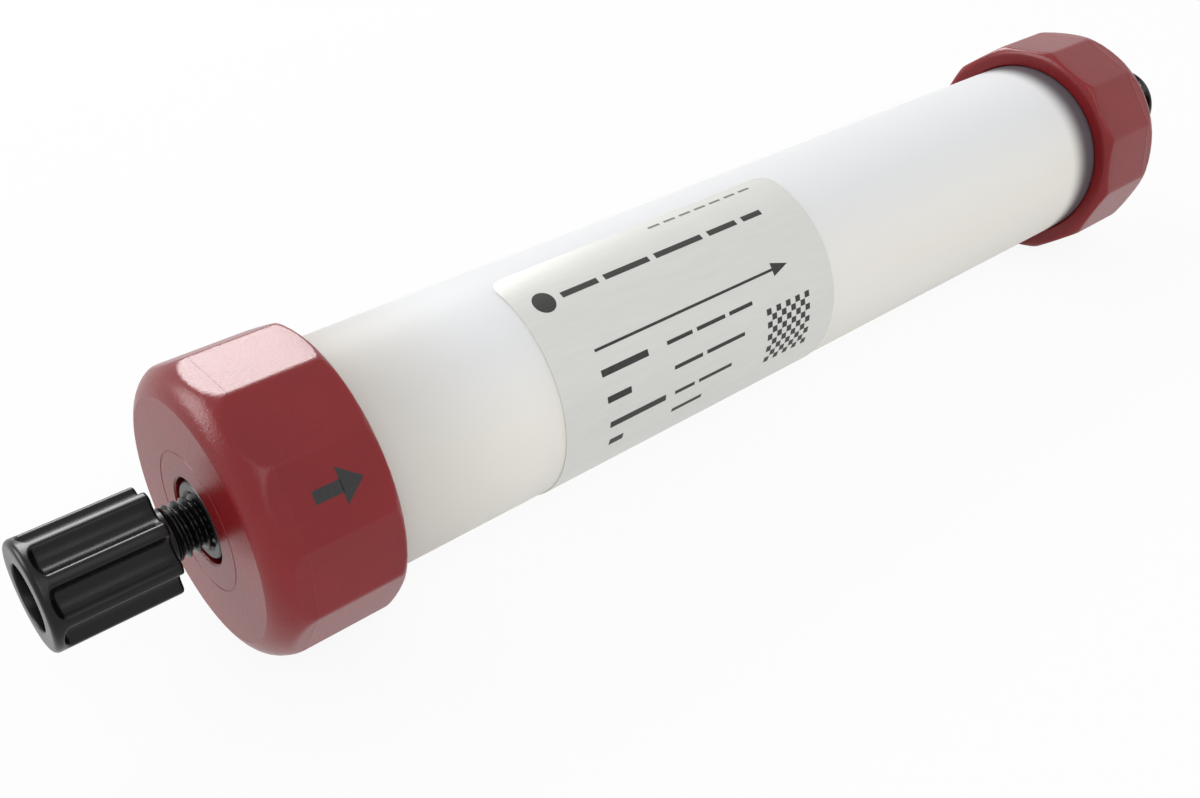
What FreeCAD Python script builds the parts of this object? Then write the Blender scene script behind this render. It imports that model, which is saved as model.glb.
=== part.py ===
"""Prepacked chromatography column: a milky tube, two twelve-sided caps, two stop plugs and what they hold.

The frame has +X along the column from inlet to outlet, +Z up, and the origin below the middle of the
column, on the surface that it lies on. Lengths are in millimetres and angles in degrees.
"""
import FreeCAD, Part

import math
import os
import re

import Sketcher
from FreeCAD import Placement, Rotation, Vector

# Driving dimensions: name, value, meaning
DIMENSIONS = (
    ("bore_dia", 16.0, "inside diameter of the tube"),
    ("tube_wall", 3.0, "wall of the tube"),
    ("bed_length", 100.0, "packed bed between the filters"),
    ("bed_gap", 0.02, "radial room round the bed"),
    ("bed_setback", 14.0, "outer face of a cap to the bed"),
    ("cap_length", 12.0, "length of a cap"),
    ("cap_sides", 12, "flats round a cap"),
    ("cap_wall", 1.85, "cap wall behind the middle of a flat"),
    ("cap_gap", 0.15, "radial room between tube and cap"),
    ("cap_end_wall", 3.4, "end wall of a cap"),
    ("cap_corner_round", 1.2, "rounding of the corners between flats"),
    ("cap_rim_edge", 0.6, "chamfer of the rim on the tube side"),
    ("cap_nose_length", 3.2, "length of the rounded nose"),
    ("cap_nose_margin", 0.02, "end of the nose's curve above the corners"),
    ("cap_nose_steps", 3, "conical faces that make the nose's curve"),
    ("cap_face_inset", 1.96, "flat of a cap to the edge of its round face"),
    ("outlet_cap_turn", 7.3, "turn of the outlet cap's flats against the inlet cap's"),
    ("thread_dia", 4.83, "outside diameter of a plug's thread"),
    ("thread_gap", 0.05, "radial room between plug and port"),
    ("seat_gap", 0.05, "axial room between a plug's cone and its seat"),
    ("channel_dia", 1.0, "liquid channel through an end piece"),
    ("stem_wall", 1.0, "wall of the port stem"),
    ("stem_gap", 0.45, "radial room between stem and cap"),
    ("stem_recess", 0.15, "end of the port stem below the cap's face"),
    ("plunger_gap", 0.05, "radial room between plunger and bore"),
    ("seal_section", 1.78, "height and width of a seal ring's section"),
    ("seal_room", 0.02, "room left inside and outside a seal ring"),
    ("seal_slot", 2.3, "width of the seal ring's groove"),
    ("seal_setback", 3.9, "end of the tube to the seal ring's groove"),
    ("filter_thickness", 1.5, "thickness of a filter disc"),
    ("filter_gap", 0.02, "radial room round a filter disc"),
    ("head_dia", 9.52, "outside diameter of a plug's head"),
    ("head_length", 10.5, "length of a plug's head"),
    ("head_standoff", 3.4, "cap's face to the head"),
    ("head_edge", 0.35, "chamfer of the head's outer edge"),
    ("head_recess_dia", 5.76, "blind recess in the head's face"),
    ("head_recess_depth", 6.5, "depth of that recess"),
    ("flute_count", 8, "flutes round the head"),
    ("flute_radius", 1.4, "radius of a flute"),
    ("flute_depth", 1.06, "depth of a flute"),
    ("flute_start", 0.75, "collar in front of the flutes"),
    ("flute_end_taper", 1.0, "taper at a flute's blind end"),
    ("neck_step", 0.12, "neck below the crest of the thread"),
    ("neck_length", 1.6, "plain neck behind the head"),
    ("thread_length", 8.6, "threaded length of a plug"),
    ("tip_dia", 1.2, "flat end of a plug's sealing cone"),
    ("label_thickness", 0.1, "thickness of the label"),
    ("label_glue", 0.02, "adhesive under the label"),
    ("label_length", 36.2, "length of the label along the tube"),
    ("label_setback", 18.1, "rim of the inlet cap to the label"),
    ("label_corner", 1.6, "rounding of the label's corners"),
    ("label_wrap", 156.0, "how far the label goes round from the top of the tube"),
)
NAMES = {name for name, value, meaning in DIMENSIONS}

# Sizes that follow from them. An x is measured inwards from a cap's outer face
TUBE_R = "(bore_dia / 2 + tube_wall)"
HALF_COLUMN = "(bed_length / 2 + bed_setback)"
TUBE_LENGTH = f"(2 * ({HALF_COLUMN} - cap_end_wall))"
CAP_BORE_R = f"({TUBE_R} + cap_gap)"
CAP_FLAT_R = f"({CAP_BORE_R} + cap_wall)"
HALF_SIDE = "(180 / cap_sides)"
CORNER_CENTRE_R = f"(({CAP_FLAT_R} - cap_corner_round) / cos({HALF_SIDE}))"
CAP_CORNER_R = f"({CORNER_CENTRE_R} + cap_corner_round)"
CAP_FACE_R = f"({CAP_FLAT_R} - cap_face_inset)"
NOSE_END_R = f"({CAP_CORNER_R} + cap_nose_margin)"
NOSE_CENTRE_R = (
    f"(({NOSE_END_R}^2 - {CAP_FACE_R}^2 - cap_nose_length^2) / (2 * ({NOSE_END_R} - {CAP_FACE_R})))"
)
NOSE_CURVE_R = f"({NOSE_END_R} - {NOSE_CENTRE_R})"
NOSE_START_ANGLE = f"(asin(({CAP_FACE_R} - {NOSE_CENTRE_R}) / {NOSE_CURVE_R}) / (1 deg))"
AXIS_HEIGHT = f"({CORNER_CENTRE_R} * cos({HALF_SIDE} - outlet_cap_turn) + cap_corner_round)"
THREAD_R = "(thread_dia / 2)"
PORT_R = f"({THREAD_R} + thread_gap)"
CHANNEL_R = "(channel_dia / 2)"
STEM_R = f"({PORT_R} + stem_wall)"
CAP_HOLE_R = f"({STEM_R} + stem_gap)"
PLUNGER_R = "(bore_dia / 2 - plunger_gap)"
SEAL_X = "(cap_end_wall + seal_setback)"
SEAL_OUTER_R = "(bore_dia / 2 - seal_room)"
SEAL_INNER_R = f"({SEAL_OUTER_R} - seal_section)"
FILTER_X = "(bed_setback - filter_thickness)"
HEAD_R = "(head_dia / 2)"
RECESS_R = "(head_recess_dia / 2)"
PROJECTION = "(head_length + head_standoff)"
NECK_R = f"({THREAD_R} - neck_step)"
NECK_END_X = "(head_length + neck_length)"
THREAD_END_X = f"({NECK_END_X} + thread_length)"
TIP_R = "(tip_dia / 2)"
TIP_X = f"({THREAD_END_X} + {THREAD_R} - {TIP_R})"
FLUTE_AXIS_R = f"({HEAD_R} - flute_depth + flute_radius)"
PORT_END_X = f"({THREAD_END_X} - {PROJECTION} + seat_gap)"
PORT_FLOOR_X = f"({PORT_END_X} + {PORT_R} - {CHANNEL_R})"
LABEL_R = f"({TUBE_R} + label_glue)"

# The two ends: name, side of the column's middle, turn of the cap about its own axis
ENDS = (("inlet", -1, "0"), ("outlet", 1, "outlet_cap_turn"))
# A shape made along Z lies along X after this
LYING = Rotation(Vector(0, 1, 0), 90)

doc = FreeCAD.newDocument("ChromatographyColumn")
sheet = doc.addObject("Spreadsheet::Sheet", "Dims")
nodes = []


def fill_sheet():
    """Write each driving dimension as a row: name, value with its alias, meaning."""
    for row, (name, value, meaning) in enumerate(DIMENSIONS, start=1):
        sheet.set(f"A{row}", name)
        sheet.set(f"B{row}", str(value))
        sheet.setAlias(f"B{row}", name)
        sheet.set(f"C{row}", meaning)
    doc.recompute()


def bound(formula):
    """The formula as an expression that reads the sheet."""
    def qualify(word):
        return f"Dims.{word[0]}" if word[0] in NAMES else word[0]

    return re.sub(r"[a-z_]+", qualify, formula)


def value_of(formula):
    """The number that a formula gives."""
    return float(sheet.evalExpression(formula))


def new_body(label):
    """An empty body for one sub-part."""
    body = doc.addObject("PartDesign::Body", label)
    body.Label = label
    nodes.append(body)
    return body


def new_primitive(kind, label, sizes):
    """A primitive for one sub-part, with its sizes bound."""
    item = doc.addObject(kind, label)
    item.Label = label
    for prop, formula in sizes.items():
        item.setExpression(prop, bound(formula))
    nodes.append(item)
    return item


def datum(body, role):
    """The body's own origin plane or axis."""
    return next(item for item in body.Origin.OriginFeatures if item.Role == role)


def new_sketch(body, name, plane, offsets=None, turn_axis=Vector(0, 0, 1)):
    """A sketch on an origin plane of its body, moved or turned about turn_axis by the bound offsets."""
    sketch = body.newObject("Sketcher::SketchObject", f"{body.Name}_{name}")
    sketch.AttachmentSupport = [(datum(body, plane), "")]
    sketch.MapMode = "FlatFace"
    sketch.AttachmentOffset = Placement(Vector(0, 0, 0), Rotation(turn_axis, 1))
    for prop, formula in {"Rotation.Angle": "0", **(offsets or {})}.items():
        sketch.setExpression(f"AttachmentOffset.{prop}", bound(formula))
    return sketch


def constrain(sketch, *arguments, formula=None):
    """Add a constraint, with its value bound to a formula if there is one."""
    if formula is None:
        sketch.addConstraint(Sketcher.Constraint(*arguments))
    else:
        index = sketch.addConstraint(Sketcher.Constraint(*arguments, value_of(formula)))
        sketch.setExpression(f"Constraints[{index}]", bound(formula))


def hold_point(sketch, side, end, x, y):
    """Hold a point at formulas x and y, or on an axis where the formula is 0."""
    for kind, formula, axis in (("DistanceX", x, -2), ("DistanceY", y, -1)):
        if formula is None:
            continue
        if formula == "0":
            constrain(sketch, "PointOnObject", side, end, axis)
        elif formula.startswith("-"):
            constrain(sketch, kind, side, end, -1, 1, formula=formula[1:])
        else:
            constrain(sketch, kind, -1, 1, side, end, formula=formula)


def draw_outline(sketch, points, rounds=None):
    """Draw a closed outline through points, each a pair of formulas.

    rounds maps the number of a side to the formulas of its centre and to the one of the two, "x" or "y",
    that holds it. Such a side is the short arc from its point to the next one.
    """
    rounds = rounds or {}
    places = [Vector(value_of(x), value_of(y), 0) for x, y in points]
    ends = []
    for side, start in enumerate(places):
        end = places[(side + 1) % len(places)]
        if side in rounds:
            (x, y), chord_middle = rounds[side][0], (start + end) * 0.5
            centre = Vector(value_of(x), value_of(y), 0)
            radius = (start - centre).Length
            crown = centre + (chord_middle - centre).normalize() * radius
            sketch.addGeometry(Part.Arc(start, crown, end), False)
        else:
            sketch.addGeometry(Part.LineSegment(start, end), False)
        runs_forward = sketch.getPoint(side, 1).distanceToPoint(start) < Part.Precision.confusion()
        ends.append((1, 2) if runs_forward else (2, 1))
    for side, point in enumerate(points):
        following = (side + 1) % len(points)
        constrain(sketch, "Coincident", side, ends[side][1], following, ends[following][0])
        hold_point(sketch, side, ends[side][0], *point)
    for side, (centre, held) in rounds.items():
        x, y = centre
        hold_point(sketch, side, 3, x if held == "x" else None, y if held == "y" else None)


def turn_profile(body, name, points, cut=False, offsets=None, angle="360"):
    """Turn an outline of (x, radius) points about the sketch's own X axis, or cut that ring away."""
    sketch = new_sketch(body, f"{name}_outline", "XZ_Plane", offsets)
    draw_outline(sketch, points)
    kind = "PartDesign::Groove" if cut else "PartDesign::Revolution"
    feature = body.newObject(kind, f"{body.Name}_{name}")
    feature.Profile = sketch
    feature.ReferenceAxis = (sketch, ["H_Axis"])
    feature.setExpression("Angle", bound(angle))
    doc.recompute()
    return feature


def repeat_round(body, feature, count):
    """Repeat a feature evenly round the X axis."""
    pattern = body.newObject("PartDesign::PolarPattern", f"{feature.Name}_ring")
    pattern.Originals = [feature]
    pattern.Axis = (datum(body, "X_Axis"), [""])
    pattern.Angle = 360
    pattern.setExpression("Occurrences", bound(count))
    body.Tip = pattern
    doc.recompute()


def dress_edges(body, kind, name, base, chosen, prop, size):
    """Round or chamfer the edges of a feature that chosen picks."""
    names = [f"Edge{n}" for n, edge in enumerate(base.Shape.Edges, start=1) if chosen(edge)]
    dressing = body.newObject(f"PartDesign::{kind}", f"{body.Name}_{name}")
    dressing.Base = (base, names)
    dressing.setExpression(prop, bound(size))
    doc.recompute()
    return dressing


def place(item, x, rotation=Rotation()):
    """Put a sub-part on the column's axis."""
    item.Placement = Placement(Vector(0, 0, 0), rotation)
    item.setExpression("Placement.Base.x", bound(x))
    item.setExpression("Placement.Base.z", bound(AXIS_HEIGHT))


def place_at_end(item, side, x, rotation=Rotation()):
    """Put a sub-part at one end of the column, facing inwards from x."""
    facing = Rotation(Vector(0, 0, 1), 0 if side < 0 else 180)
    place(item, f"{side} * ({HALF_COLUMN} - ({x}))", facing * rotation)


def tube():
    """Plain tube whose ends stand in the caps, against their end walls."""
    body = new_body("column_tube")
    turn_profile(body, "wall", [
        ("0", "bore_dia / 2"),
        ("0", TUBE_R),
        (TUBE_LENGTH, TUBE_R),
        (TUBE_LENGTH, "bore_dia / 2"),
    ])
    place(body, f"-{TUBE_LENGTH} / 2")


def draw_polygon(sketch, sides, flat_radius):
    """A regular polygon round the origin, with its first side level at the bottom."""
    step = 2 * math.pi / sides
    corner_radius = value_of(flat_radius) / math.cos(step / 2)
    angles = [(side - 0.5) * step for side in range(sides)]
    corners = [Vector(math.sin(angle), -math.cos(angle), 0) * corner_radius for angle in angles]
    sketch.addGeometry(Part.Circle(Vector(0, 0, 0), Vector(0, 0, 1), corner_radius), True)
    constrain(sketch, "Coincident", 0, 3, -1, 1)
    for side, corner in enumerate(corners):
        sketch.addGeometry(Part.LineSegment(corner, corners[(side + 1) % sides]), False)
    for side in range(1, sides + 1):
        constrain(sketch, "Coincident", side, 2, side % sides + 1, 1)
        constrain(sketch, "PointOnObject", side, 1, 0)
    for side in range(2, sides + 1):
        constrain(sketch, "Equal", 1, side)
    constrain(sketch, "Horizontal", 1)
    constrain(sketch, "DistanceY", 1, 1, -1, 1, formula=flat_radius)


def nose_curve():
    """Points between the ends of the nose's arc, which ends level with the column's axis."""
    points = []
    steps = int(value_of("cap_nose_steps"))
    for step in range(1, steps):
        angle = f"({NOSE_START_ANGLE} + (90 - {NOSE_START_ANGLE}) * {step} / cap_nose_steps)"
        points.append((
            f"cap_nose_length - {NOSE_CURVE_R} * cos({angle})",
            f"{NOSE_CENTRE_R} + {NOSE_CURVE_R} * sin({angle})",
        ))
    return points


def cap(end, side, turn):
    """Moulded cap: a twelve-sided block whose flats run out into a rounded nose with a flat face."""
    body = new_body(f"{end}_cap")
    outline = new_sketch(body, "outline", "YZ_Plane", {"Rotation.Angle": turn})
    draw_polygon(outline, int(value_of("cap_sides")), CAP_FLAT_R)
    block = body.newObject("PartDesign::Pad", f"{body.Name}_block")
    block.Profile = outline
    block.setExpression("Length", bound("cap_length"))
    doc.recompute()
    rim_x = value_of("cap_length")

    def runs_along_axis(edge):
        return abs(edge.tangentAt(edge.FirstParameter).x) > 0.99

    def lies_on_rim(edge):
        return all(abs(vertex.X - rim_x) < Part.Precision.confusion() for vertex in edge.Vertexes)

    corners = dress_edges(
        body, "Fillet", "corners", block, runs_along_axis, "Radius", "cap_corner_round"
    )
    dress_edges(body, "Chamfer", "rim", corners, lies_on_rim, "Size", "cap_rim_edge")
    clear_r = f"{NOSE_END_R} + cap_corner_round"
    turn_profile(body, "nose", [
        ("0", clear_r),
        ("0", CAP_FACE_R),
        *nose_curve(),
        ("cap_nose_length", NOSE_END_R),
        ("cap_nose_length", clear_r),
    ], cut=True)
    turn_profile(body, "cavity", [
        ("0", "0"),
        ("0", CAP_HOLE_R),
        ("cap_end_wall", CAP_HOLE_R),
        ("cap_end_wall", CAP_BORE_R),
        ("cap_length", CAP_BORE_R),
        ("cap_length", "0"),
    ], cut=True)
    place_at_end(body, side, "0")


def end_piece(end, side):
    """Plunger and port stem in one, with the port, its conical seat and the liquid channel."""
    body = new_body(f"{end}_end_piece")
    slot_end_x = f"{SEAL_X} + seal_slot"
    slot_r = f"{SEAL_INNER_R} - seal_room"
    turn_profile(body, "turned", [
        ("stem_recess", PORT_R),
        ("stem_recess", STEM_R),
        ("cap_end_wall", STEM_R),
        ("cap_end_wall", PLUNGER_R),
        (SEAL_X, PLUNGER_R),
        (SEAL_X, slot_r),
        (slot_end_x, slot_r),
        (slot_end_x, PLUNGER_R),
        (FILTER_X, PLUNGER_R),
        (FILTER_X, CHANNEL_R),
        (PORT_FLOOR_X, CHANNEL_R),
        (PORT_END_X, PORT_R),
    ])
    place_at_end(body, side, "0")


def seal_ring(end, side):
    """Rubber ring in the plunger's groove, its section square where it is squeezed."""
    body = new_body(f"{end}_seal_ring")
    turn_profile(body, "section", [
        ("0", SEAL_INNER_R),
        ("0", SEAL_OUTER_R),
        ("seal_section", SEAL_OUTER_R),
        ("seal_section", SEAL_INNER_R),
    ])
    place_at_end(body, side, f"{SEAL_X} + (seal_slot - seal_section) / 2")


def filter_disc(end, side):
    """Porous disc between plunger and bed."""
    disc = new_primitive("Part::Cylinder", f"{end}_filter", {
        "Radius": "bore_dia / 2 - filter_gap",
        "Height": "filter_thickness",
    })
    place_at_end(disc, side, FILTER_X, LYING)


def packed_bed():
    """The medium between the two filters."""
    bed = new_primitive("Part::Cylinder", "packed_bed", {
        "Radius": "bore_dia / 2 - bed_gap",
        "Height": "bed_length",
    })
    place(bed, "-bed_length / 2", LYING)


def plug(end, side):
    """Stop plug: fluted head with a blind recess, neck, thread and sealing cone. x runs from its face."""
    body = new_body(f"{end}_plug")
    turn_profile(body, "turned", [
        ("0", RECESS_R),
        ("0", f"{HEAD_R} - head_edge"),
        ("head_edge", HEAD_R),
        ("head_length", HEAD_R),
        ("head_length", NECK_R),
        (NECK_END_X, NECK_R),
        (f"{NECK_END_X} + neck_step", THREAD_R),
        (THREAD_END_X, THREAD_R),
        (TIP_X, TIP_R),
        (TIP_X, "0"),
        ("head_recess_depth", "0"),
        ("head_recess_depth", RECESS_R),
    ])
    # Half a pitch past the top, so that a land faces up
    turn = "(180 / flute_count)"
    flute = turn_profile(body, "flute", [
        ("flute_start", "0"),
        ("flute_start", "flute_radius - flute_end_taper"),
        ("flute_start + flute_end_taper", "flute_radius"),
        (NECK_END_X, "flute_radius"),
        (NECK_END_X, "0"),
    ], cut=True, offsets={
        "Base.y": f"{FLUTE_AXIS_R} * cos({turn})",
        "Base.z": f"{FLUTE_AXIS_R} * sin({turn})",
    })
    repeat_round(body, flute, "flute_count")
    place_at_end(body, side, f"-{PROJECTION}")


def label():
    """Thin sticker, from the top of the tube down its near side, with rounded corners."""
    body = new_body("label")
    sheet_r = f"{LABEL_R} + label_thickness"
    turn_profile(body, "wrap", [
        ("0", LABEL_R),
        ("label_length", LABEL_R),
        ("label_length", sheet_r),
        ("0", sheet_r),
    ], angle="label_wrap")
    inner, outer = "-label_corner", "label_corner"
    for name, turn, inside, outside in (("top", "0", inner, outer), ("lower", "label_wrap", outer, inner)):
        far_x = "label_length - label_corner"
        trim = new_sketch(body, f"{name}_trim", "XY_Plane", {"Rotation.Angle": turn}, Vector(1, 0, 0))
        draw_outline(trim, [
            ("0", outside),
            ("label_length", outside),
            ("label_length", inside),
            (far_x, "0"),
            ("label_corner", "0"),
            ("0", inside),
        ], {2: ((far_x, inside), "y"), 4: (("label_corner", inside), "y")})
        corners = body.newObject("PartDesign::Pocket", f"{body.Name}_{name}_corners")
        corners.Profile = trim
        corners.Type = "ThroughAll"
        corners.Reversed = True
        doc.recompute()
    place(body, f"cap_length + label_setback - {HALF_COLUMN}")


def check_model():
    """Stop if any object failed or any sub-part has no valid solid."""
    failed = [item.Name for item in doc.Objects if {"Invalid", "Error"} & set(item.State)]
    if failed:
        raise RuntimeError(f"failed: {failed}")
    for node in nodes:
        shape = node.Shape
        if shape.isNull() or not shape.isValid() or len(shape.Solids) != 1:
            raise RuntimeError(f"no valid solid: {node.Label}")


fill_sheet()
tube()
packed_bed()
label()
for end, side, turn in ENDS:
    cap(end, side, turn)
    end_piece(end, side)
    seal_ring(end, side)
    filter_disc(end, side)
    plug(end, side)
doc.recompute()
check_model()
os.makedirs("parts", exist_ok=True)
for node in nodes:
    node.Shape.exportStep(f"parts/{node.Label}.step")
    box = node.Shape.BoundBox
    print(f"{node.Label}: {node.Shape.Volume:.1f} mm3, {box.XMin:.2f} to {box.XMax:.2f}, from {box.ZMin:.3f}")
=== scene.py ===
"""Looks of the prepacked chromatography column: smooth surfaces, materials, light and camera.

Everything is in metres in the solids' frame: +X along the column from inlet to outlet, +Z up, the floor
at z = 0. An angle round the column starts at the top and grows towards -Y, the side that the camera sees.
"""

import math

import bmesh
import bpy
import numpy as np
from mathutils import Matrix, Vector


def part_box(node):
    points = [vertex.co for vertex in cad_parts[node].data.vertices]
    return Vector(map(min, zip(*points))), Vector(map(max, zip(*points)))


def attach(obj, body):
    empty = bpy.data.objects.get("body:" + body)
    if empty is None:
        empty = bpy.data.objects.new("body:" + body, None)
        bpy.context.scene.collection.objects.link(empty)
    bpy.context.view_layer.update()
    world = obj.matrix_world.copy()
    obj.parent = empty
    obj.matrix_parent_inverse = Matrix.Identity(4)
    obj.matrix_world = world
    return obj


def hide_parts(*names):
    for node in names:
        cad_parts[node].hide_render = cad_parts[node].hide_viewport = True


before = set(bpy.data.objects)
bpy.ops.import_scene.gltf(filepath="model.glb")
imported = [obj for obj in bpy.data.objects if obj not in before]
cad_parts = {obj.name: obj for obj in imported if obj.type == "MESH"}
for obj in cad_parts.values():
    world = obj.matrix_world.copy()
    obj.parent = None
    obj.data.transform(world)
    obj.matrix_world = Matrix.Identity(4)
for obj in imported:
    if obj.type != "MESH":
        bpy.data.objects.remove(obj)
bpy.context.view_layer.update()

MM = 0.001
MERGE_DISTANCE = 0.0005 * MM
SHORTEST_EDGE = 0.0002 * MM

# Places that the solids give
tube_low, tube_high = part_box("column_tube")
cap_low, cap_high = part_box("inlet_cap")
AXIS_HEIGHT = (tube_low.z + tube_high.z) / 2
TUBE_R = (tube_high.z - tube_low.z) / 2
HALF_COLUMN = -cap_low.x
CAP_LENGTH = cap_high.x - cap_low.x
HALF_TUBE = tube_high.x

# Tube. Its wall carries painted light, warm below and cool on top, and painted shade near each end for the
# end pieces seen through it
BORE_R = 8 * MM
TUBE_EDGE = 0.4 * MM
TUBE_RINGS = range(56, -57, -8)
PAINTED_WARM_BELOW = AXIS_HEIGHT + 3 * MM
PAINTED_COOL_ABOVE = AXIS_HEIGHT + 10.5 * MM
# Where the painted shade of the end pieces lies along the tube
INLET_SHADE_FULL = -HALF_TUBE + 8 * MM
INLET_SHADE_END = -HALF_TUBE + 24 * MM
OUTLET_SHADE_START = 47.2 * MM
OUTLET_SHADE_FULL = 50.8 * MM

# Caps. A depth is measured inwards from a cap's outer face
CAP_SIDES = 12
HALF_SIDE = math.pi / CAP_SIDES
CAP_FLAT_R = 13 * MM
CAP_CORNER_ROUND = 1.2 * MM
CAP_CORNER_CENTRE_R = (CAP_FLAT_R - CAP_CORNER_ROUND) / math.cos(HALF_SIDE)
CAP_FACE_R = 11.04 * MM
CAP_BORE_R = 11.03 * MM
CAP_HOLE_R = 3.915 * MM
CAP_HOLE_EDGE = 0.15 * MM
CAP_RING_R = 6.28 * MM
CAP_RING_WIDTH = 0.09 * MM
CAP_RING_DEPTH = 0.06 * MM
CAP_END_WALL = 3.4 * MM
CAP_RIM_ROUND = 1.15 * MM
RIM_CREASE_ROUND = 0.22 * MM
CAP_LIP_ROUND = 0.25 * MM
CAP_PARTING_WIDTH = 0.07 * MM
CAP_PARTING_HEIGHT = 0.012 * MM
NOSE_CREASE_ROUND = 0.35 * MM
NOSE_LENGTH = 3.2 * MM
NOSE_END_R = CAP_CORNER_CENTRE_R + CAP_CORNER_ROUND + 0.02 * MM
NOSE_CENTRE_R = (NOSE_END_R**2 - CAP_FACE_R**2 - NOSE_LENGTH**2) / (2 * (NOSE_END_R - CAP_FACE_R))
NOSE_CURVE_R = NOSE_END_R - NOSE_CENTRE_R
OUTLET_CAP_TURN = math.radians(-7.3)

# End pieces: port stem, disc and the plunger that carries the seal ring
STEM_R = 3.465 * MM
STEM_RECESS = 0.15 * MM
STEM_EDGE = 0.12 * MM
PORT_R = 2.465 * MM
PORT_MOUTH_R = 2.75 * MM
PORT_END = 6.85 * MM
PORT_FLOOR = 8.815 * MM
CHANNEL_R = 0.5 * MM
PLUNGER_R = 7.95 * MM
SEAL_SLOT = 2.3 * MM
SEAL_DEPTH = 7.3 * MM
SEAL_SECTION_R = 0.88 * MM
SEAL_OUTER_R = 7.98 * MM
SEAL_GROOVE_R = SEAL_OUTER_R - 2 * SEAL_SECTION_R - 0.02 * MM
PLUNGER_EDGE = 0.2 * MM
FILTER_DEPTH = 12.5 * MM
BED_DEPTH = 14 * MM
BED_R = 7.98 * MM

# Stop plugs. A plug's depth is measured inwards from the outer face of its head
HEAD_STANDOFF = 3.4 * MM
HEAD_R = 4.76 * MM
HEAD_LENGTH = 10.5 * MM
HEAD_FACE_ROUND = 0.48 * MM
HEAD_REAR_ROUND = 0.25 * MM
RECESS_R = 2.88 * MM
RECESS_DEPTH = 6.5 * MM
RECESS_LIP = 0.15 * MM
RECESS_FLOOR_EDGE = 0.3 * MM
FLUTES = 8
FLUTE_TURN = math.radians(22.5)
FLUTE_R = 1.4 * MM
FLUTE_AXIS_R = 5.1 * MM
FLUTE_EDGE = 0.45 * MM
FLUTE_START = 1.35 * MM
FLUTE_END_SQUARENESS = 2.2
# Steps from a flute's middle line to beside the next ridge, in degrees, closest where the edge is rounded
FLUTE_STEPS = (
    (0, 2, 4, 6, 7.6, 9, 10.2, 11.3, 12.3, 13.2)
    + (14, 14.6, 15.1, 15.6, 16.1, 16.6, 17.1, 17.6, 18.5, 20)
)
NECK_R = 2.295 * MM
NECK_END = 11.3 * MM
THREAD_R = 2.415 * MM
THREAD_ROOT_R = 1.95 * MM
THREAD_PITCH = 0.8 * MM
THREAD_END = 20.7 * MM
THREAD_STEEPNESS = 1.45
THREAD_CREST = 0.2
THREAD_EDGE = 0.02 * MM
TIP_R = 0.6 * MM
TIP_EDGE = 0.05 * MM

# Label
LABEL_R = 11.12 * MM
LABEL_THICKNESS = 0.1 * MM
LABEL_START = -33.9 * MM
LABEL_END = 2.3 * MM
LABEL_CORNER = 1.6 * MM
LABEL_WRAP = math.radians(156)
PRINT_R = 11.132 * MM
PRINT_THICKNESS = 0.02 * MM

# Print of the label: places along the column in millimetres, angles from the top in degrees
SMALL_BAR_STARTS = np.arange(-15.2, -0.5, 2.1)
SMALL_BAR_LENGTH = 1.5
SMALL_BAR_ANGLES = (5.2, 6.6)
DOT = (-30.9, 24, 1.15)
TOP_BARS = ((-28.9, -24.6), (-23.8, -18.2), (-17.4, -11.2), (-10.3, -6.4), (-5.5, -2.8))
TOP_BAR_ANGLES = (22.4, 25.6)
LONG_ARROW_STEM = (-28.9, -5.6, 54.2, 55.6)
LONG_ARROW_POINT = (-5.6, -3.4, 54.9, 3.6)
# Each row of bars: its two angles, its bold bars and its thin ones
BAR_ROWS = (
    (64.6, 68.0, ((-29.0, -23.3),), ((-20.9, -17.6), (-17.0, -13.2), (-12.6, -9.4))),
    (78.2, 81.6, ((-28.9, -26.0),), ((-20.5, -16.8), (-16.2, -11.0))),
    (92.4, 95.8, ((-28.7, -21.7),), ((-20.5, -17.9), (-17.3, -12.8))),
    (104.0, 107.8, ((-28.5, -26.8),), ((-20.5, -16.5),)),
)
THIN_BAR_INSET = 0.7
CHEQUER_CELLS = 9
CHEQUER_CORNER = (-7.7, 73.0)
CHEQUER_STEP = (0.7, 3.6)
CHEQUER_SQUARE = (0.66, 3.4)

# Flow mark on the inlet cap: depths and half widths of its stem and its point, in millimetres
MARK_ANGLE = math.radians(60)
MARK_HEIGHT = CAP_FLAT_R + 0.008 * MM
MARK_STEM = ((5.2, 7.7), (0.55, 0.55))
MARK_POINT = ((7.6, 9.6), (1.6, 0.0))

# Floor and studio. A lamp: name, place, width, height, power in watts, and whether it is for gloss only
FLOOR_HALF = 3.0
FLOOR_WHITE_SHARE = 0.92
FLOOR_GREY = (0.92, 0.92, 0.92, 1)
WORLD_COLOUR = (0.99, 0.99, 1.0, 1)
WORLD_STRENGTH = 0.58
LAMPS = (
    ("back_softbox", (0.1, 0.52, 0.385), 0.32, 0.18, 0.9, False),
    ("back_gleam", (0.09, 0.5, 0.45), 0.34, 0.4, 4.2, True),
    ("left_softbox", (-0.45, 0.35, 0.3), 0.3, 0.3, 0.6, False),
    ("left_gleam", (-0.47, 0.36, 0.32), 0.34, 0.34, 1.8, True),
    ("side_fill", (-0.15, -0.45, 0.5), 0.4, 0.4, 1.0, False),
)

# Camera
CAMERA_LENS = 38.162
CAMERA_SENSOR = 36
CAMERA_NEAR = 0.005
CAMERA_PLACE = Vector((-0.091907, -0.082394, 0.080147))
CAMERA_RIGHT = Vector((0.755207, -0.655486, 0.000412))
CAMERA_UP = Vector((0.368017, 0.424524, 0.827250))

COLUMN = "column"


def on_column(x, radius, angle):
    """Points at a place along the column, a distance from its axis and an angle from the top towards -Y."""
    x, radius, angle = np.broadcast_arrays(x, radius, angle)
    return np.stack([x, -radius * np.sin(angle), AXIS_HEIGHT + radius * np.cos(angle)], axis=-1)


def round_the_axis(count):
    """That many equal steps of a full turn."""
    return np.arange(count) * (math.tau / count)


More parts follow.
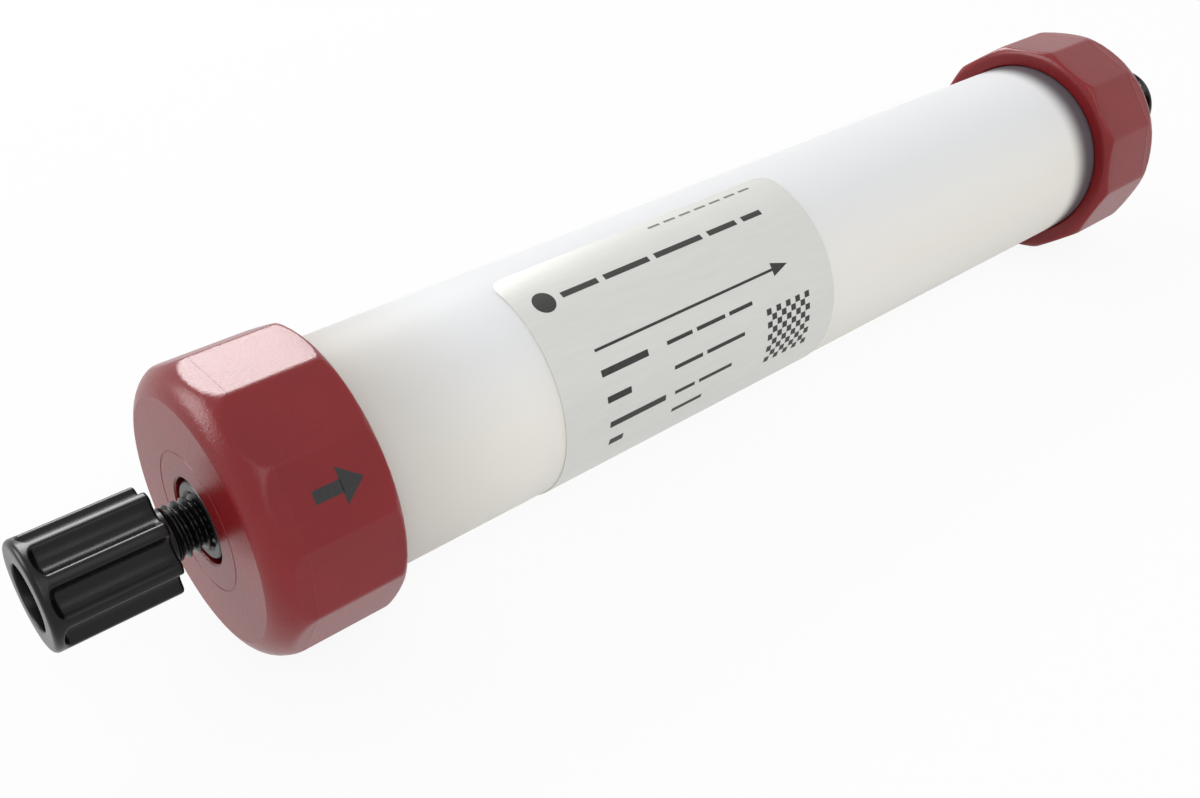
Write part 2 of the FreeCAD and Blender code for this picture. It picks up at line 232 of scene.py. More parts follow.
def grid_faces(rows, columns, wrap_rows=False, wrap_columns=True):
    """The four corners of each cell of a grid, whose last row or column may join the first."""
    row = np.arange(rows if wrap_rows else rows - 1)[:, None]
    column = np.arange(columns if wrap_columns else columns - 1)[None, :]
    next_row = (row + 1) % rows
    next_column = (column + 1) % columns
    corners = np.broadcast_arrays(
        row * columns + column,
        row * columns + next_column,
        next_row * columns + next_column,
        next_row * columns + column,
    )
    return np.stack(corners, axis=-1).reshape(-1, 4)


def closed_sheet(outer, inner):
    """Points and faces of a thin shell: the outer grid, the inner grid, and a strip along each edge."""
    rows, columns = outer.shape[:2]
    shift = rows * columns
    faces = grid_faces(rows, columns, wrap_columns=False)
    number = np.arange(shift).reshape(rows, columns)
    loop = np.concatenate([number[0, :-1], number[:-1, -1], number[-1, :0:-1], number[:0:-1, 0]])
    following = np.roll(loop, -1)
    edge = np.stack([loop, following, following + shift, loop + shift], axis=-1)
    points = np.concatenate([outer.reshape(-1, 3), inner.reshape(-1, 3)])
    return points, np.concatenate([faces, faces[:, ::-1] + shift, edge])


def new_piece(name, shells, material, nodes=(), body=COLUMN, sharp=30):
    """One object from shells of points and faces: doubles merged, faces outwards, sharp past an angle."""
    points = []
    faces = []
    count = 0
    for shell_points, shell_faces in shells:
        points.append(shell_points.reshape(-1, 3))
        faces.append(shell_faces + count)
        count += len(points[-1])
    mesh = bpy.data.meshes.new(name)
    mesh.from_pydata(np.concatenate(points), [], np.concatenate(faces))
    shape = bmesh.new()
    shape.from_mesh(mesh)
    bmesh.ops.remove_doubles(shape, verts=shape.verts, dist=MERGE_DISTANCE)
    bmesh.ops.dissolve_degenerate(shape, edges=shape.edges, dist=SHORTEST_EDGE)
    bmesh.ops.recalc_face_normals(shape, faces=shape.faces)
    shape.to_mesh(mesh)
    shape.free()
    mesh.shade_smooth()
    mesh.set_sharp_from_angle(angle=math.radians(sharp))
    mesh.materials.append(material)
    piece = bpy.data.objects.new(name, mesh)
    bpy.context.collection.objects.link(piece)
    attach(piece, body)
    if nodes:
        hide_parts(*nodes)


def turned(profile, columns=96, wrap=False):
    """A profile of (x, radius) carried round the column's axis."""
    profile = np.array(profile, float)
    points = on_column(profile[:, :1], profile[:, 1:], round_the_axis(columns))
    return points, grid_faces(len(profile), columns, wrap_rows=wrap)


def arc(centre, radius, start, end, steps=6):
    """Points of a circle's arc in a profile, from one angle to another, in degrees from the first axis."""
    angle = np.radians(np.linspace(start, end, steps + 1))
    return [(centre[0] + radius * math.cos(a), centre[1] + radius * math.sin(a)) for a in angle]


def end_x(side, depth):
    """Place along the column of a depth behind a cap's outer face, at the inlet (-1) or the outlet (1)."""
    return side * (HALF_COLUMN - depth)


def at_end(side, profile):
    """A profile of (depth, radius) put at one end of the column."""
    return [(end_x(side, depth), radius) for depth, radius in profile]


# Materials


def linear(red, green, blue):
    """A display colour, 0 to 255, as the linear colour that a shader takes."""
    part = np.array([red, green, blue], float) / 255
    value = np.where(part <= 0.04045, part / 12.92, ((part + 0.055) / 1.055) ** 2.4)
    return (*value.tolist(), 1.0)


def new_material(name, roughness, **sockets):
    """A material with one plain shader, its sockets set by name, and object coordinates for patterns."""
    material = bpy.data.materials.new(name)
    material.use_nodes = True
    tree = material.node_tree
    shader = tree.nodes["Principled BSDF"]
    shader.inputs["Roughness"].default_value = roughness
    for socket, value in sockets.items():
        shader.inputs[socket.replace("_", " ")].default_value = value
    place = tree.nodes.new("ShaderNodeTexCoord").outputs["Object"]
    return material, tree, shader, place


def noise(tree, place, size, detail=3.0, stretch=(1, 1, 1)):
    """Cloudy noise whose grains are about that size, in metres, stretched along the axes."""
    mapping = tree.nodes.new("ShaderNodeMapping")
    mapping.inputs["Scale"].default_value = stretch
    tree.links.new(place, mapping.inputs["Vector"])
    texture = tree.nodes.new("ShaderNodeTexNoise")
    texture.inputs["Scale"].default_value = 1 / size
    texture.inputs["Detail"].default_value = detail
    tree.links.new(mapping.outputs["Vector"], texture.inputs["Vector"])
    return texture.outputs["Fac"]


def ramp(tree, value, stops):
    """Colours that follow a value from 0 to 1, given as (value, colour) stops."""
    node = tree.nodes.new("ShaderNodeValToRGB")
    marks = node.color_ramp.elements
    while len(marks) < len(stops):
        marks.new(0.5)
    for mark, (position, colour) in zip(marks, stops):
        mark.position = position
        mark.color = colour
    tree.links.new(value, node.inputs["Fac"])
    return node.outputs["Color"]


def spread(tree, value, low, high, to_low=0.0, to_high=1.0):
    """The value carried smoothly from one range to another."""
    node = tree.nodes.new("ShaderNodeMapRange")
    node.interpolation_type = "SMOOTHSTEP"
    node.inputs["From Min"].default_value = low
    node.inputs["From Max"].default_value = high
    node.inputs["To Min"].default_value = to_low
    node.inputs["To Max"].default_value = to_high
    tree.links.new(value, node.inputs["Value"])
    return node.outputs["Result"]


def blend(tree, amount, first, second):
    """Two colours blended by an amount."""
    node = tree.nodes.new("ShaderNodeMix")
    node.data_type = "RGBA"
    tree.links.new(amount, node.inputs["Factor"])
    for colour, socket in ((first, node.inputs["A"]), (second, node.inputs["B"])):
        if isinstance(colour, tuple):
            socket.default_value = colour
        else:
            tree.links.new(colour, socket)
    return node.outputs["Result"]


def parts_of(tree, place):
    """The x, y and z of a place as three values."""
    node = tree.nodes.new("ShaderNodeSeparateXYZ")
    tree.links.new(place, node.inputs["Vector"])
    return node.outputs


def grain(tree, shader, height, depth):
    """A relief of that depth, in metres, on the surface."""
    bump = tree.nodes.new("ShaderNodeBump")
    bump.inputs["Strength"].default_value = 1.0
    bump.inputs["Distance"].default_value = depth
    tree.links.new(height, bump.inputs["Height"])
    tree.links.new(bump.outputs["Normal"], shader.inputs["Normal"])


def mottled(name, darker, lighter, roughness, size, grain_size, grain_depth, **sockets):
    """Moulded plastic: a colour that wanders a little, uneven gloss and a fine grain."""
    material, tree, shader, place = new_material(name, roughness, **sockets)
    clouds = noise(tree, place, size)
    tree.links.new(ramp(tree, clouds, ((0.25, darker), (0.75, lighter))), shader.inputs["Base Color"])
    fine = noise(tree, place, grain_size, detail=2.0)
    grain(tree, shader, fine, grain_depth)
    gloss = spread(tree, fine, 0.2, 0.8, roughness * 0.92, roughness * 1.08)
    tree.links.new(gloss, shader.inputs["Roughness"])
    return material


def milky_plastic():
    """The tube's wall: milky white, with painted light that makes it warm below and cool on top, and painted
    shade near each end for an end piece seen through it.
    """
    material, tree, shader, place = new_material(
        "milky_plastic",
        0.5,
        Specular_IOR_Level=0.15,
        Subsurface_Weight=0.2,
        Subsurface_Scale=1.0,
        Subsurface_Radius=(3 * MM, 3 * MM, 3 * MM),
    )
    along = parts_of(tree, place)["X"]
    up = parts_of(tree, place)["Z"]
    clouds = noise(tree, place, 9 * MM, stretch=(0.25, 1, 1))
    # Painted light: the wall is warmer below and cooler on top, for light passing through it
    low = ramp(tree, clouds, ((0.3, linear(246, 243, 234)), (0.7, linear(249, 247, 239))))
    high = ramp(tree, clouds, ((0.3, linear(244, 245, 246)), (0.7, linear(247, 248, 249))))
    wall = blend(tree, spread(tree, up, PAINTED_WARM_BELOW, PAINTED_COOL_ABOVE), low, high)
    # Painted shade near the inlet end and a painted dark band near the outlet end, for the end pieces seen
    # through the wall
    painted_inlet_shade = spread(tree, along, INLET_SHADE_FULL, INLET_SHADE_END, 1, 0)
    wall = blend(tree, painted_inlet_shade, wall, linear(219, 216, 209))
    painted_outlet_shade = spread(tree, along, OUTLET_SHADE_START, OUTLET_SHADE_FULL)
    wall = blend(tree, painted_outlet_shade, wall, linear(100, 94, 99))
    tree.links.new(wall, shader.inputs["Base Color"])
    ripple = noise(tree, place, 1.6 * MM, stretch=(0.3, 1, 1))
    grain(tree, shader, ripple, 0.004 * MM)
    return material


def silver_film():
    """The label's film: pale silver with a fine grain along the column."""
    material, tree, shader, place = new_material("silver_film", 0.38, Metallic=0.25)
    streaks = noise(tree, place, 0.5 * MM, detail=4.0, stretch=(0.12, 1, 1))
    film = ramp(tree, streaks, ((0.3, linear(220, 220, 215)), (0.7, linear(224, 224, 219))))
    tree.links.new(film, shader.inputs["Base Color"])
    grain(tree, shader, streaks, 0.0004 * MM)
    return material


def printed_ink(name, darker, lighter):
    """Ink on the label, a little uneven where the film shows through."""
    material, tree, shader, place = new_material(name, 0.5)
    speckle = noise(tree, place, 0.25 * MM)
    tree.links.new(ramp(tree, speckle, ((0.35, darker), (0.7, lighter))), shader.inputs["Base Color"])
    return material


def packed_beads():
    """The bed: fine round beads, off-white, each with painted shade towards its edge."""
    material, tree, shader, place = new_material("packed_beads", 0.6)
    cells = tree.nodes.new("ShaderNodeTexVoronoi")
    cells.inputs["Scale"].default_value = 1 / (0.3 * MM)
    tree.links.new(place, cells.inputs["Vector"])
    from_bead = cells.outputs["Distance"]
    # Painted shade: each bead is darker towards its edge, where it meets the next
    shade = ramp(tree, from_bead, ((0.0, linear(238, 236, 228)), (0.8, linear(205, 202, 190))))
    tree.links.new(shade, shader.inputs["Base Color"])
    grain(tree, shader, from_bead, 0.05 * MM)
    return material


def sintered_filter():
    """The filters: white sintered plastic with fine pores."""
    material, tree, shader, place = new_material("sintered_filter", 0.75)
    pores = noise(tree, place, 0.12 * MM, detail=4.0)
    plastic = ramp(tree, pores, ((0.3, linear(196, 196, 192)), (0.6, linear(238, 238, 235))))
    tree.links.new(plastic, shader.inputs["Base Color"])
    grain(tree, shader, pores, 0.03 * MM)
    return material


# Surfaces


def cap_skeleton():
    """Where the cap's outline is carried, all round, as two arrays: the points of the twelve-sided outline
    set in by its corner rounding, and the direction in which the rounding is laid outside them. Along a flat
    the points move and the direction stays; at a corner the point stays and the direction turns.
    """
    flat_steps = np.array([-1, -0.93, -0.6, -0.2, 0.2, 0.6, 0.93])
    corner_steps = np.arange(8) / 8
    middles = round_the_axis(CAP_SIDES)
    half_flat = CAP_CORNER_CENTRE_R * math.sin(HALF_SIDE)
    set_in = CAP_FLAT_R - CAP_CORNER_ROUND
    sideways = np.concatenate([flat_steps * half_flat, np.full(corner_steps.shape, half_flat)])
    turn = np.concatenate([np.zeros(flat_steps.shape), corner_steps * 2 * HALF_SIDE])
    sideways, middle = np.broadcast_arrays(sideways[None, :], middles[:, None])
    radius = np.hypot(set_in, sideways).ravel()
    angle = (middle + np.arctan2(sideways, set_in)).ravel()
    points = np.stack([radius * np.cos(angle), radius * np.sin(angle)])
    direction = (middles[:, None] + turn[None, :]).ravel()
    return points, np.stack([np.cos(direction), np.sin(direction)])


def run_out(centre_depth, centre_r, curve_r, start, edge_r, crease_round, steps):
    """Depths and radii of a curve turned about the axis, from a start angle out to where the flats cut it.

    The curve is an arc whose angle is measured from the axis, away from the cap's middle for a negative curve
    radius. The flat cuts it where its distance from the axis equals the outline's; there a short parabola,
    as long as the crease's rounding on both sides, takes its place.
    """
    size = abs(curve_r)
    crease = np.arcsin((edge_r - centre_r) / size)
    before = crease - crease_round / size
    sweep = start + (before - start) * np.linspace(0, 1, steps + 1)[:, None]
    depth = centre_depth - curve_r * np.cos(sweep)
    radius = centre_r + size * np.sin(sweep)
    share = np.linspace(0, 1, 7)[1:, None]
    weights = ((1 - share) ** 2, 2 * share * (1 - share), share**2)
    crease_depth = centre_depth - curve_r * np.cos(crease)
    flat_depth = crease_depth + math.copysign(crease_round, curve_r)
    rounded_depth = weights[0] * depth[-1] + weights[1] * crease_depth + weights[2] * flat_depth
    rounded_radius = weights[0] * radius[-1] + (weights[1] + weights[2]) * edge_r
    return np.concatenate([depth, rounded_depth]), np.concatenate([radius, rounded_radius])


def cap_surface(side, turn):
    """A cap's whole surface, as a closed profile at each step round the outline: out along the face, over
    the rounded nose as far as the flat cuts it, along the flat, round the rim in the same way, in to the
    bore, and back along the inside and the hole.
    """
    skeleton, outward = cap_skeleton()

    def outline(inset):
        """Distance from the axis and angle of the outline, moved inwards by the inset."""
        across = skeleton + outward * (CAP_CORNER_ROUND - inset)
        return np.hypot(*across), np.arctan2(across[1], across[0])

    edge_r, edge_angle = outline(0)
    rows = []

    def add(depth, radius, angle=edge_angle):
        """One row of the grid."""
        rows.append(on_column(end_x(side, depth), radius * np.ones_like(edge_r), angle + turn))

    face = (
        (CAP_HOLE_EDGE, CAP_HOLE_R),
        (0, CAP_HOLE_R + CAP_HOLE_EDGE),
        (0, CAP_RING_R - CAP_RING_WIDTH),
        (CAP_RING_DEPTH, CAP_RING_R - CAP_RING_WIDTH / 3),
        (CAP_RING_DEPTH, CAP_RING_R + CAP_RING_WIDTH / 3),
        (0, CAP_RING_R + CAP_RING_WIDTH),
        (0, (CAP_RING_R + CAP_FACE_R) / 2),
        (0, CAP_FACE_R - 0.1 * MM),
    )
    for depth, radius in face:
        add(depth, radius)

    start = math.asin((CAP_FACE_R - NOSE_CENTRE_R) / NOSE_CURVE_R)
    for row in zip(*run_out(NOSE_LENGTH, NOSE_CENTRE_R, NOSE_CURVE_R, start, edge_r, NOSE_CREASE_ROUND, 12)):
        add(*row)
    for offset, inset in ((-CAP_PARTING_WIDTH, 0), (0, -CAP_PARTING_HEIGHT), (CAP_PARTING_WIDTH, 0)):
        add(NOSE_LENGTH + offset, *outline(inset))
    rim_start = CAP_LENGTH - CAP_RIM_ROUND
    for share in (0.03, 0.3, 0.6, 0.9):
        add(NOSE_LENGTH + (rim_start - NOSE_LENGTH) * share, edge_r)
    rim_centre_r = NOSE_END_R - CAP_RIM_ROUND
    rim = run_out(rim_start, rim_centre_r, -CAP_RIM_ROUND, 0, edge_r, RIM_CREASE_ROUND, 9)
    for row in reversed(list(zip(*rim))):
        add(*row)
    lip_r = CAP_BORE_R + CAP_LIP_ROUND
    for share in (0.1, 0.5, 0.9):
        add(CAP_LENGTH, rim_centre_r + (lip_r - rim_centre_r) * share)
    for sweep in np.linspace(0, math.pi / 2, 6):
        depth = CAP_LENGTH - CAP_LIP_ROUND * (1 - math.cos(sweep))
        add(depth, CAP_BORE_R + CAP_LIP_ROUND * (1 - math.sin(sweep)))
    add(CAP_END_WALL, CAP_BORE_R)
    add(CAP_END_WALL, CAP_HOLE_R)
    points = np.stack(rows)
    return points, grid_faces(*points.shape[:2], wrap_rows=True)


def end_piece_profile():
    """Depth and radius of an end piece: its port with a chamfered mouth and a cone seat, the stem through the
    cap, the disc against the tube's end, the plunger with the seal's groove, and the channel.
    """
    mouth = STEM_RECESS + (PORT_MOUTH_R - PORT_R)
    return [
        (STEM_RECESS, PORT_MOUTH_R),
        (STEM_RECESS, STEM_R - STEM_EDGE),
        (STEM_RECESS + STEM_EDGE, STEM_R),
        (CAP_END_WALL, STEM_R),
        (CAP_END_WALL, PLUNGER_R),
        (SEAL_DEPTH, PLUNGER_R),
        (SEAL_DEPTH, SEAL_GROOVE_R),
        (SEAL_DEPTH + SEAL_SLOT, SEAL_GROOVE_R),
        (SEAL_DEPTH + SEAL_SLOT, PLUNGER_R),
        (FILTER_DEPTH - PLUNGER_EDGE, PLUNGER_R),
        (FILTER_DEPTH, PLUNGER_R - PLUNGER_EDGE),
        (FILTER_DEPTH, CHANNEL_R),
        (PORT_FLOOR, CHANNEL_R),
        (PORT_END, PORT_R),
        (mouth, PORT_R),
    ]


def flute_profile():
    """How far the plug's head reaches from its axis, against the distance from a flute's middle line: the
    flute's arc, a small arc that rounds the edge, then the plain head. Both arcs are cut across the head.
    """
    round_axis_r = HEAD_R - FLUTE_EDGE
    reach = FLUTE_R + FLUTE_EDGE
    turn = math.acos((FLUTE_AXIS_R**2 + round_axis_r**2 - reach**2) / (2 * FLUTE_AXIS_R * round_axis_r))
    across = round_axis_r * math.sin(turn)
    along = round_axis_r * math.cos(turn)
    meeting = math.atan2(across, FLUTE_AXIS_R - along)
    flute = np.linspace(0, meeting, 40)
    edge = np.linspace(-meeting, turn, 20)
    across = np.concatenate([FLUTE_R * np.sin(flute), across + FLUTE_EDGE * np.sin(edge)])
    along = np.concatenate([FLUTE_AXIS_R - FLUTE_R * np.cos(flute), along + FLUTE_EDGE * np.cos(edge)])
    return np.arctan2(across, along) * HEAD_R, np.hypot(across, along)


def plug_head(side):
    """A plug's head: the blind recess, the rounded face, and a side with eight flutes. A flute is a groove
    whose depth depends only on the distance to its middle line. The line stops behind the face, so the blind
    end is round, and the squareness makes it shorter than a half circle. The rear edge draws the side in by
    the same amount all round.
    """
    pitch = 360 / FLUTES
    half = np.array(FLUTE_STEPS)
    step = np.concatenate([half, [pitch / 2], pitch - half[:0:-1]])
    angle = (np.radians(step)[None, :] + (np.arange(FLUTES) * math.tau / FLUTES)[:, None]).ravel()
    from_middle = np.abs((angle + math.pi / FLUTES) % (math.tau / FLUTES) - math.pi / FLUTES) * HEAD_R
    turned_angle = angle + FLUTE_TURN
    distance, reach = flute_profile()
    rows = []

    def add(depth, radius):
        """One row of the grid, at a depth behind the head's face."""
        rows.append(on_column(end_x(side, depth - HEAD_LENGTH - HEAD_STANDOFF), radius, turned_angle))

    def fluted(depth):
        """How far the head reaches at that depth."""
        short_of_start = FLUTE_END_SQUARENESS * max(0, FLUTE_START - depth)
        return np.interp(np.hypot(from_middle, short_of_start), distance, reach)

    for depth, radius in (
        (RECESS_DEPTH, 0),
        (RECESS_DEPTH, RECESS_R - RECESS_FLOOR_EDGE),
        (RECESS_DEPTH - RECESS_FLOOR_EDGE, RECESS_R),
        (RECESS_DEPTH / 2, RECESS_R),
    ):
        add(depth, radius)
    for sweep in np.linspace(0, math.pi / 2, 5):
        add(RECESS_LIP * (1 - math.sin(sweep)), RECESS_R + RECESS_LIP * (1 - math.cos(sweep)))
    for sweep in np.linspace(0, math.pi / 2, 9):
        add(HEAD_FACE_ROUND * (1 - math.cos(sweep)), HEAD_R - HEAD_FACE_ROUND * (1 - math.sin(sweep)))
    for depth in np.linspace(HEAD_FACE_ROUND + 0.03 * MM, FLUTE_START, 24):
        add(depth, fluted(depth))
    for share in (0.3, 0.6, 0.9):
        add(FLUTE_START + (HEAD_LENGTH - HEAD_REAR_ROUND - FLUTE_START) * share, fluted(HEAD_LENGTH))
    for sweep in np.linspace(0, math.pi / 2, 6):
        depth = HEAD_LENGTH - HEAD_REAR_ROUND * (1 - math.sin(sweep))
        add(depth, fluted(HEAD_LENGTH) - HEAD_REAR_ROUND * (1 - math.cos(sweep)))
    add(HEAD_LENGTH, NECK_R)
    add(HEAD_LENGTH, 0)
    points = np.stack(rows)
    return points, grid_faces(*points.shape[:2])


def plug_thread(side):
    """A plug's neck, thread and sealing cone. The thread is a right-handed ridge: its height follows a
    triangle wave of the place along the plug, moved by one pitch in each turn, with flat crests and roots,
    and fades at both ends.
    """
    angle = round_the_axis(96)
    depth = np.arange(NECK_END, THREAD_END, THREAD_PITCH / 16)
    x = end_x(side, depth - HEAD_LENGTH - HEAD_STANDOFF)[:, None]
    phase = (x / THREAD_PITCH - angle[None, :] / math.tau) % 1
    wave = np.clip(np.abs(phase - 0.5) * 2 * THREAD_STEEPNESS - THREAD_CREST, 0, 1)
    fade_in = np.clip((depth - NECK_END) / THREAD_PITCH, 0, 1)[:, None]
    fade_out = np.clip((THREAD_END - depth) / (0.5 * THREAD_PITCH), 0, 1)[:, None]
    cut = (THREAD_R - THREAD_ROOT_R) * wave * fade_in * fade_out
    thread = on_column(x, THREAD_R - cut, angle)
    cone_end = THREAD_END + THREAD_R - TIP_R

    def plain(depths, radii):
        """Rows of plain circles at depths behind the head's face."""
        depths = np.array(depths)[:, None]
        return on_column(end_x(side, depths - HEAD_LENGTH - HEAD_STANDOFF), np.array(radii)[:, None], angle)

    inside_head = HEAD_LENGTH - 1 * MM
    neck = plain(
        (inside_head, inside_head, NECK_END - 0.1 * MM, NECK_END - 0.01 * MM),
        (0, NECK_R, NECK_R, THREAD_R - THREAD_EDGE),
    )
    cone = plain(
        (THREAD_END, THREAD_END + THREAD_EDGE, cone_end - TIP_EDGE, cone_end, cone_end),
        (THREAD_R, THREAD_R - THREAD_EDGE, TIP_R + TIP_EDGE, TIP_R - TIP_EDGE, 0),
    )
    points = np.concatenate([neck, thread, cone])
    return points, grid_faces(*points.shape[:2])


def label_surface():
    """The label: a sheet of even thickness on the tube. Its length shrinks near the two straight edges by the
    corner's circle, which rounds the four corners.
    """
    arc_length = LABEL_WRAP * LABEL_R
    corner = LABEL_CORNER * (1 - np.cos(np.linspace(0, math.pi / 2, 9)))
    middle = np.linspace(LABEL_CORNER, arc_length - LABEL_CORNER, 60)
    edge = np.concatenate([corner, middle[1:-1], (arc_length - corner)[::-1]])
    to_edge = np.minimum(edge, arc_length - edge)
    inward = np.clip(LABEL_CORNER - to_edge, 0, None)
    shrink = LABEL_CORNER - np.sqrt(LABEL_CORNER**2 - inward**2)
    share = np.linspace(0, 1, 25)[None, :]
    x = (LABEL_START + shrink)[:, None] * (1 - share) + (LABEL_END - shrink)[:, None] * share
    angle = (edge / LABEL_R)[:, None]
    outer = on_column(x, LABEL_R, angle)
    return closed_sheet(outer, on_column(x, LABEL_R - LABEL_THICKNESS, angle))


def printed_patch(x, angle):
    """A thin patch of ink on the label, over a grid of places along the column and angles round it."""
    return closed_sheet(on_column(x, PRINT_R, angle), on_column(x, PRINT_R - PRINT_THICKNESS, angle))


def printed_bar(start, end, low, high):
    """A bar of ink between two places along the column, in millimetres, and two angles, in degrees."""
    steps = 2 + int((high - low) / 3)
    angle = np.radians(np.linspace(low, high, steps))[:, None]
    return printed_patch(np.array([[start, end]]) * MM, angle)


def printed_dot(x, angle, radius):
    """A round dot of ink: rings that grow from its middle on the outside and shrink to it underneath."""
    ring = np.array([0, 0.4, 0.7, 1, 1, 0])[:, None] * radius * MM
    height = np.array([0, 0, 0, 0, 1, 1])[:, None] * PRINT_THICKNESS
    turn = round_the_axis(32)[None, :]
    places = on_column(
        x * MM + ring * np.cos(turn), PRINT_R - height, math.radians(angle) + ring * np.sin(turn) / LABEL_R
    )
    return places, grid_faces(*places.shape[:2])


def printed_point(start, end, angle, half_width):
    """An arrow's point: its width falls to nothing from start to end."""
    share = np.linspace(0, 1, 5)[None, :]
    across = np.linspace(-1, 1, 5)[:, None] * (1 - share) * math.radians(half_width)
    x = (start + (end - start) * share) * MM + 0 * across
    return printed_patch(x, math.radians(angle) + across)


# Materials of the pieces
red_plastic = mottled(
    "red_plastic",
    darker=linear(128, 27, 31),
    lighter=linear(140, 31, 35),
    roughness=0.3,
    size=9 * MM,
    grain_size=0.26 * MM,
    grain_depth=0.02 * MM,
    Specular_IOR_Level=0.33,
    Subsurface_Weight=0.25,
    Subsurface_Scale=1.0,
    Subsurface_Radius=(3 * MM, 0.5 * MM, 0.4 * MM),
)
end_plastic = mottled(
    "end_plastic",
    darker=linear(34, 35, 36),
    lighter=linear(48, 49, 50),
    roughness=0.36,
    size=3 * MM,
    grain_size=0.3 * MM,
    grain_depth=0.006 * MM,
    IOR=1.5,
)
black_plastic = mottled(
    "black_plastic",
    darker=linear(7, 8, 8),
    lighter=linear(13, 14, 14),
    roughness=0.28,
    size=4 * MM,
    grain_size=0.4 * MM,
    grain_depth=0.001 * MM,
    Specular_IOR_Level=0.26,
)
black_rubber = mottled(
    "black_rubber",
    darker=linear(24, 24, 25),
    lighter=linear(38, 37, 37),
    roughness=0.6,
    size=2 * MM,
    grain_size=0.15 * MM,
    grain_depth=0.01 * MM,
)
tube_material = milky_plastic()
film_material = silver_film()
dark_ink = printed_ink("dark_ink", linear(30, 31, 29), linear(46, 47, 43))
grey_ink = printed_ink("grey_ink", linear(112, 112, 110), linear(132, 132, 128))
mark_ink = printed_ink("mark_ink", linear(26, 24, 26), linear(36, 33, 35))
bead_material = packed_beads()
filter_material = sintered_filter()

# Tube and bed
outer_edge = TUBE_R - TUBE_EDGE
inner_edge = BORE_R + TUBE_EDGE
tube_end = HALF_TUBE - TUBE_EDGE
tube_profile = (
    arc((tube_end, outer_edge), TUBE_EDGE, 0, 90)
    + [(x * MM, TUBE_R) for x in TUBE_RINGS]
    + arc((-tube_end, outer_edge), TUBE_EDGE, 90, 180)
    + arc((-tube_end, inner_edge), TUBE_EDGE, 180, 270)
    + arc((tube_end, inner_edge), TUBE_EDGE, 270, 360)
)
new_piece("tube", [turned(tube_profile, 160, wrap=True)], tube_material, ["column_tube"])

bed_end = HALF_COLUMN - BED_DEPTH
bed_profile = [(-bed_end, 0), (-bed_end, BED_R), (bed_end, BED_R), (bed_end, 0)]
new_piece("bed", [turned(bed_profile)], bead_material, ["packed_bed"])

# Both ends
for end, side, cap_turn in (("inlet", -1, 0.0), ("outlet", 1, OUTLET_CAP_TURN)):
    shell = cap_surface(side, cap_turn)
    new_piece(f"{end}_cap_shell", [shell], red_plastic, [f"{end}_cap"], sharp=14)
    stem = turned(at_end(side, end_piece_profile()), wrap=True)
    new_piece(f"{end}_port", [stem], end_plastic, [f"{end}_end_piece"])
    seal_middle = (end_x(side, SEAL_DEPTH + SEAL_SLOT / 2), SEAL_OUTER_R - SEAL_SECTION_R)
    seal = turned(arc(seal_middle, SEAL_SECTION_R, 0, 345, 23), wrap=True)
    new_piece(f"{end}_seal", [seal], black_rubber, [f"{end}_seal_ring"])
    filter_profile = [(FILTER_DEPTH, 0), (FILTER_DEPTH, BED_R), (BED_DEPTH, BED_R), (BED_DEPTH, 0)]
    disc = turned(at_end(side, filter_profile))
    new_piece(f"{end}_filter_disc", [disc], filter_material, [f"{end}_filter"])
    plug = f"{end}_plug"
    plug_shells = [plug_head(side), plug_thread(side)]
    new_piece(f"{end}_stop_plug", plug_shells, black_plastic, [plug], body=plug, sharp=40)

# Label and its print: plain bars, a dot, an arrow and a chequer
new_piece("label_film", [label_surface()], film_material, ["label"])

grey_marks = [
    printed_bar(start, start + SMALL_BAR_LENGTH, *SMALL_BAR_ANGLES) for start in SMALL_BAR_STARTS
]
new_piece("label_small_bars", grey_marks, grey_ink)

dark_marks = [printed_dot(*DOT)]
for start, end in TOP_BARS:
    dark_marks.append(printed_bar(start, end, *TOP_BAR_ANGLES))
dark_marks.append(printed_bar(*LONG_ARROW_STEM))
dark_marks.append(printed_point(*LONG_ARROW_POINT))
for low, high, bold, thin in BAR_ROWS:
    for start, end in bold:
        dark_marks.append(printed_bar(start, end, low, high))
    for start, end in thin:
        dark_marks.append(printed_bar(start, end, low + THIN_BAR_INSET, high - THIN_BAR_INSET))
for row in range(CHEQUER_CELLS):
    for column in range(CHEQUER_CELLS):
        if (row + column) % 2 == 0:
            x = CHEQUER_CORNER[0] + CHEQUER_STEP[0] * column
            angle = CHEQUER_CORNER[1] + CHEQUER_STEP[1] * row
            dark_marks.append(printed_bar(x, x + CHEQUER_SQUARE[0], angle, angle + CHEQUER_SQUARE[1]))
new_piece("label_print", dark_marks, dark_ink)


def flow_arrow():
    """The flow mark on one flat of the inlet cap: a stem and a point along the column, as thin flat sheets
    whose half width goes evenly from one value to another.
    """
    places = []
    for along, half in (MARK_STEM, MARK_POINT):
        share = np.linspace(0, 1, 3)[None, :]
        depth = (along[0] + (along[1] - along[0]) * share) * MM
        across = np.linspace(-1, 1, 3)[:, None] * (half[0] + (half[1] - half[0]) * share) * MM
        sheets = []
        for height in (MARK_HEIGHT, MARK_HEIGHT - PRINT_THICKNESS):
            radius = np.hypot(height, across)
            angle = MARK_ANGLE + np.arctan2(across, height)
            sheets.append(on_column(end_x(-1, depth + 0 * across), radius, angle))
        places.append(closed_sheet(*sheets))
    return places


new_piece("inlet_flow_mark", flow_arrow(), mark_ink)

# Floor, light and camera


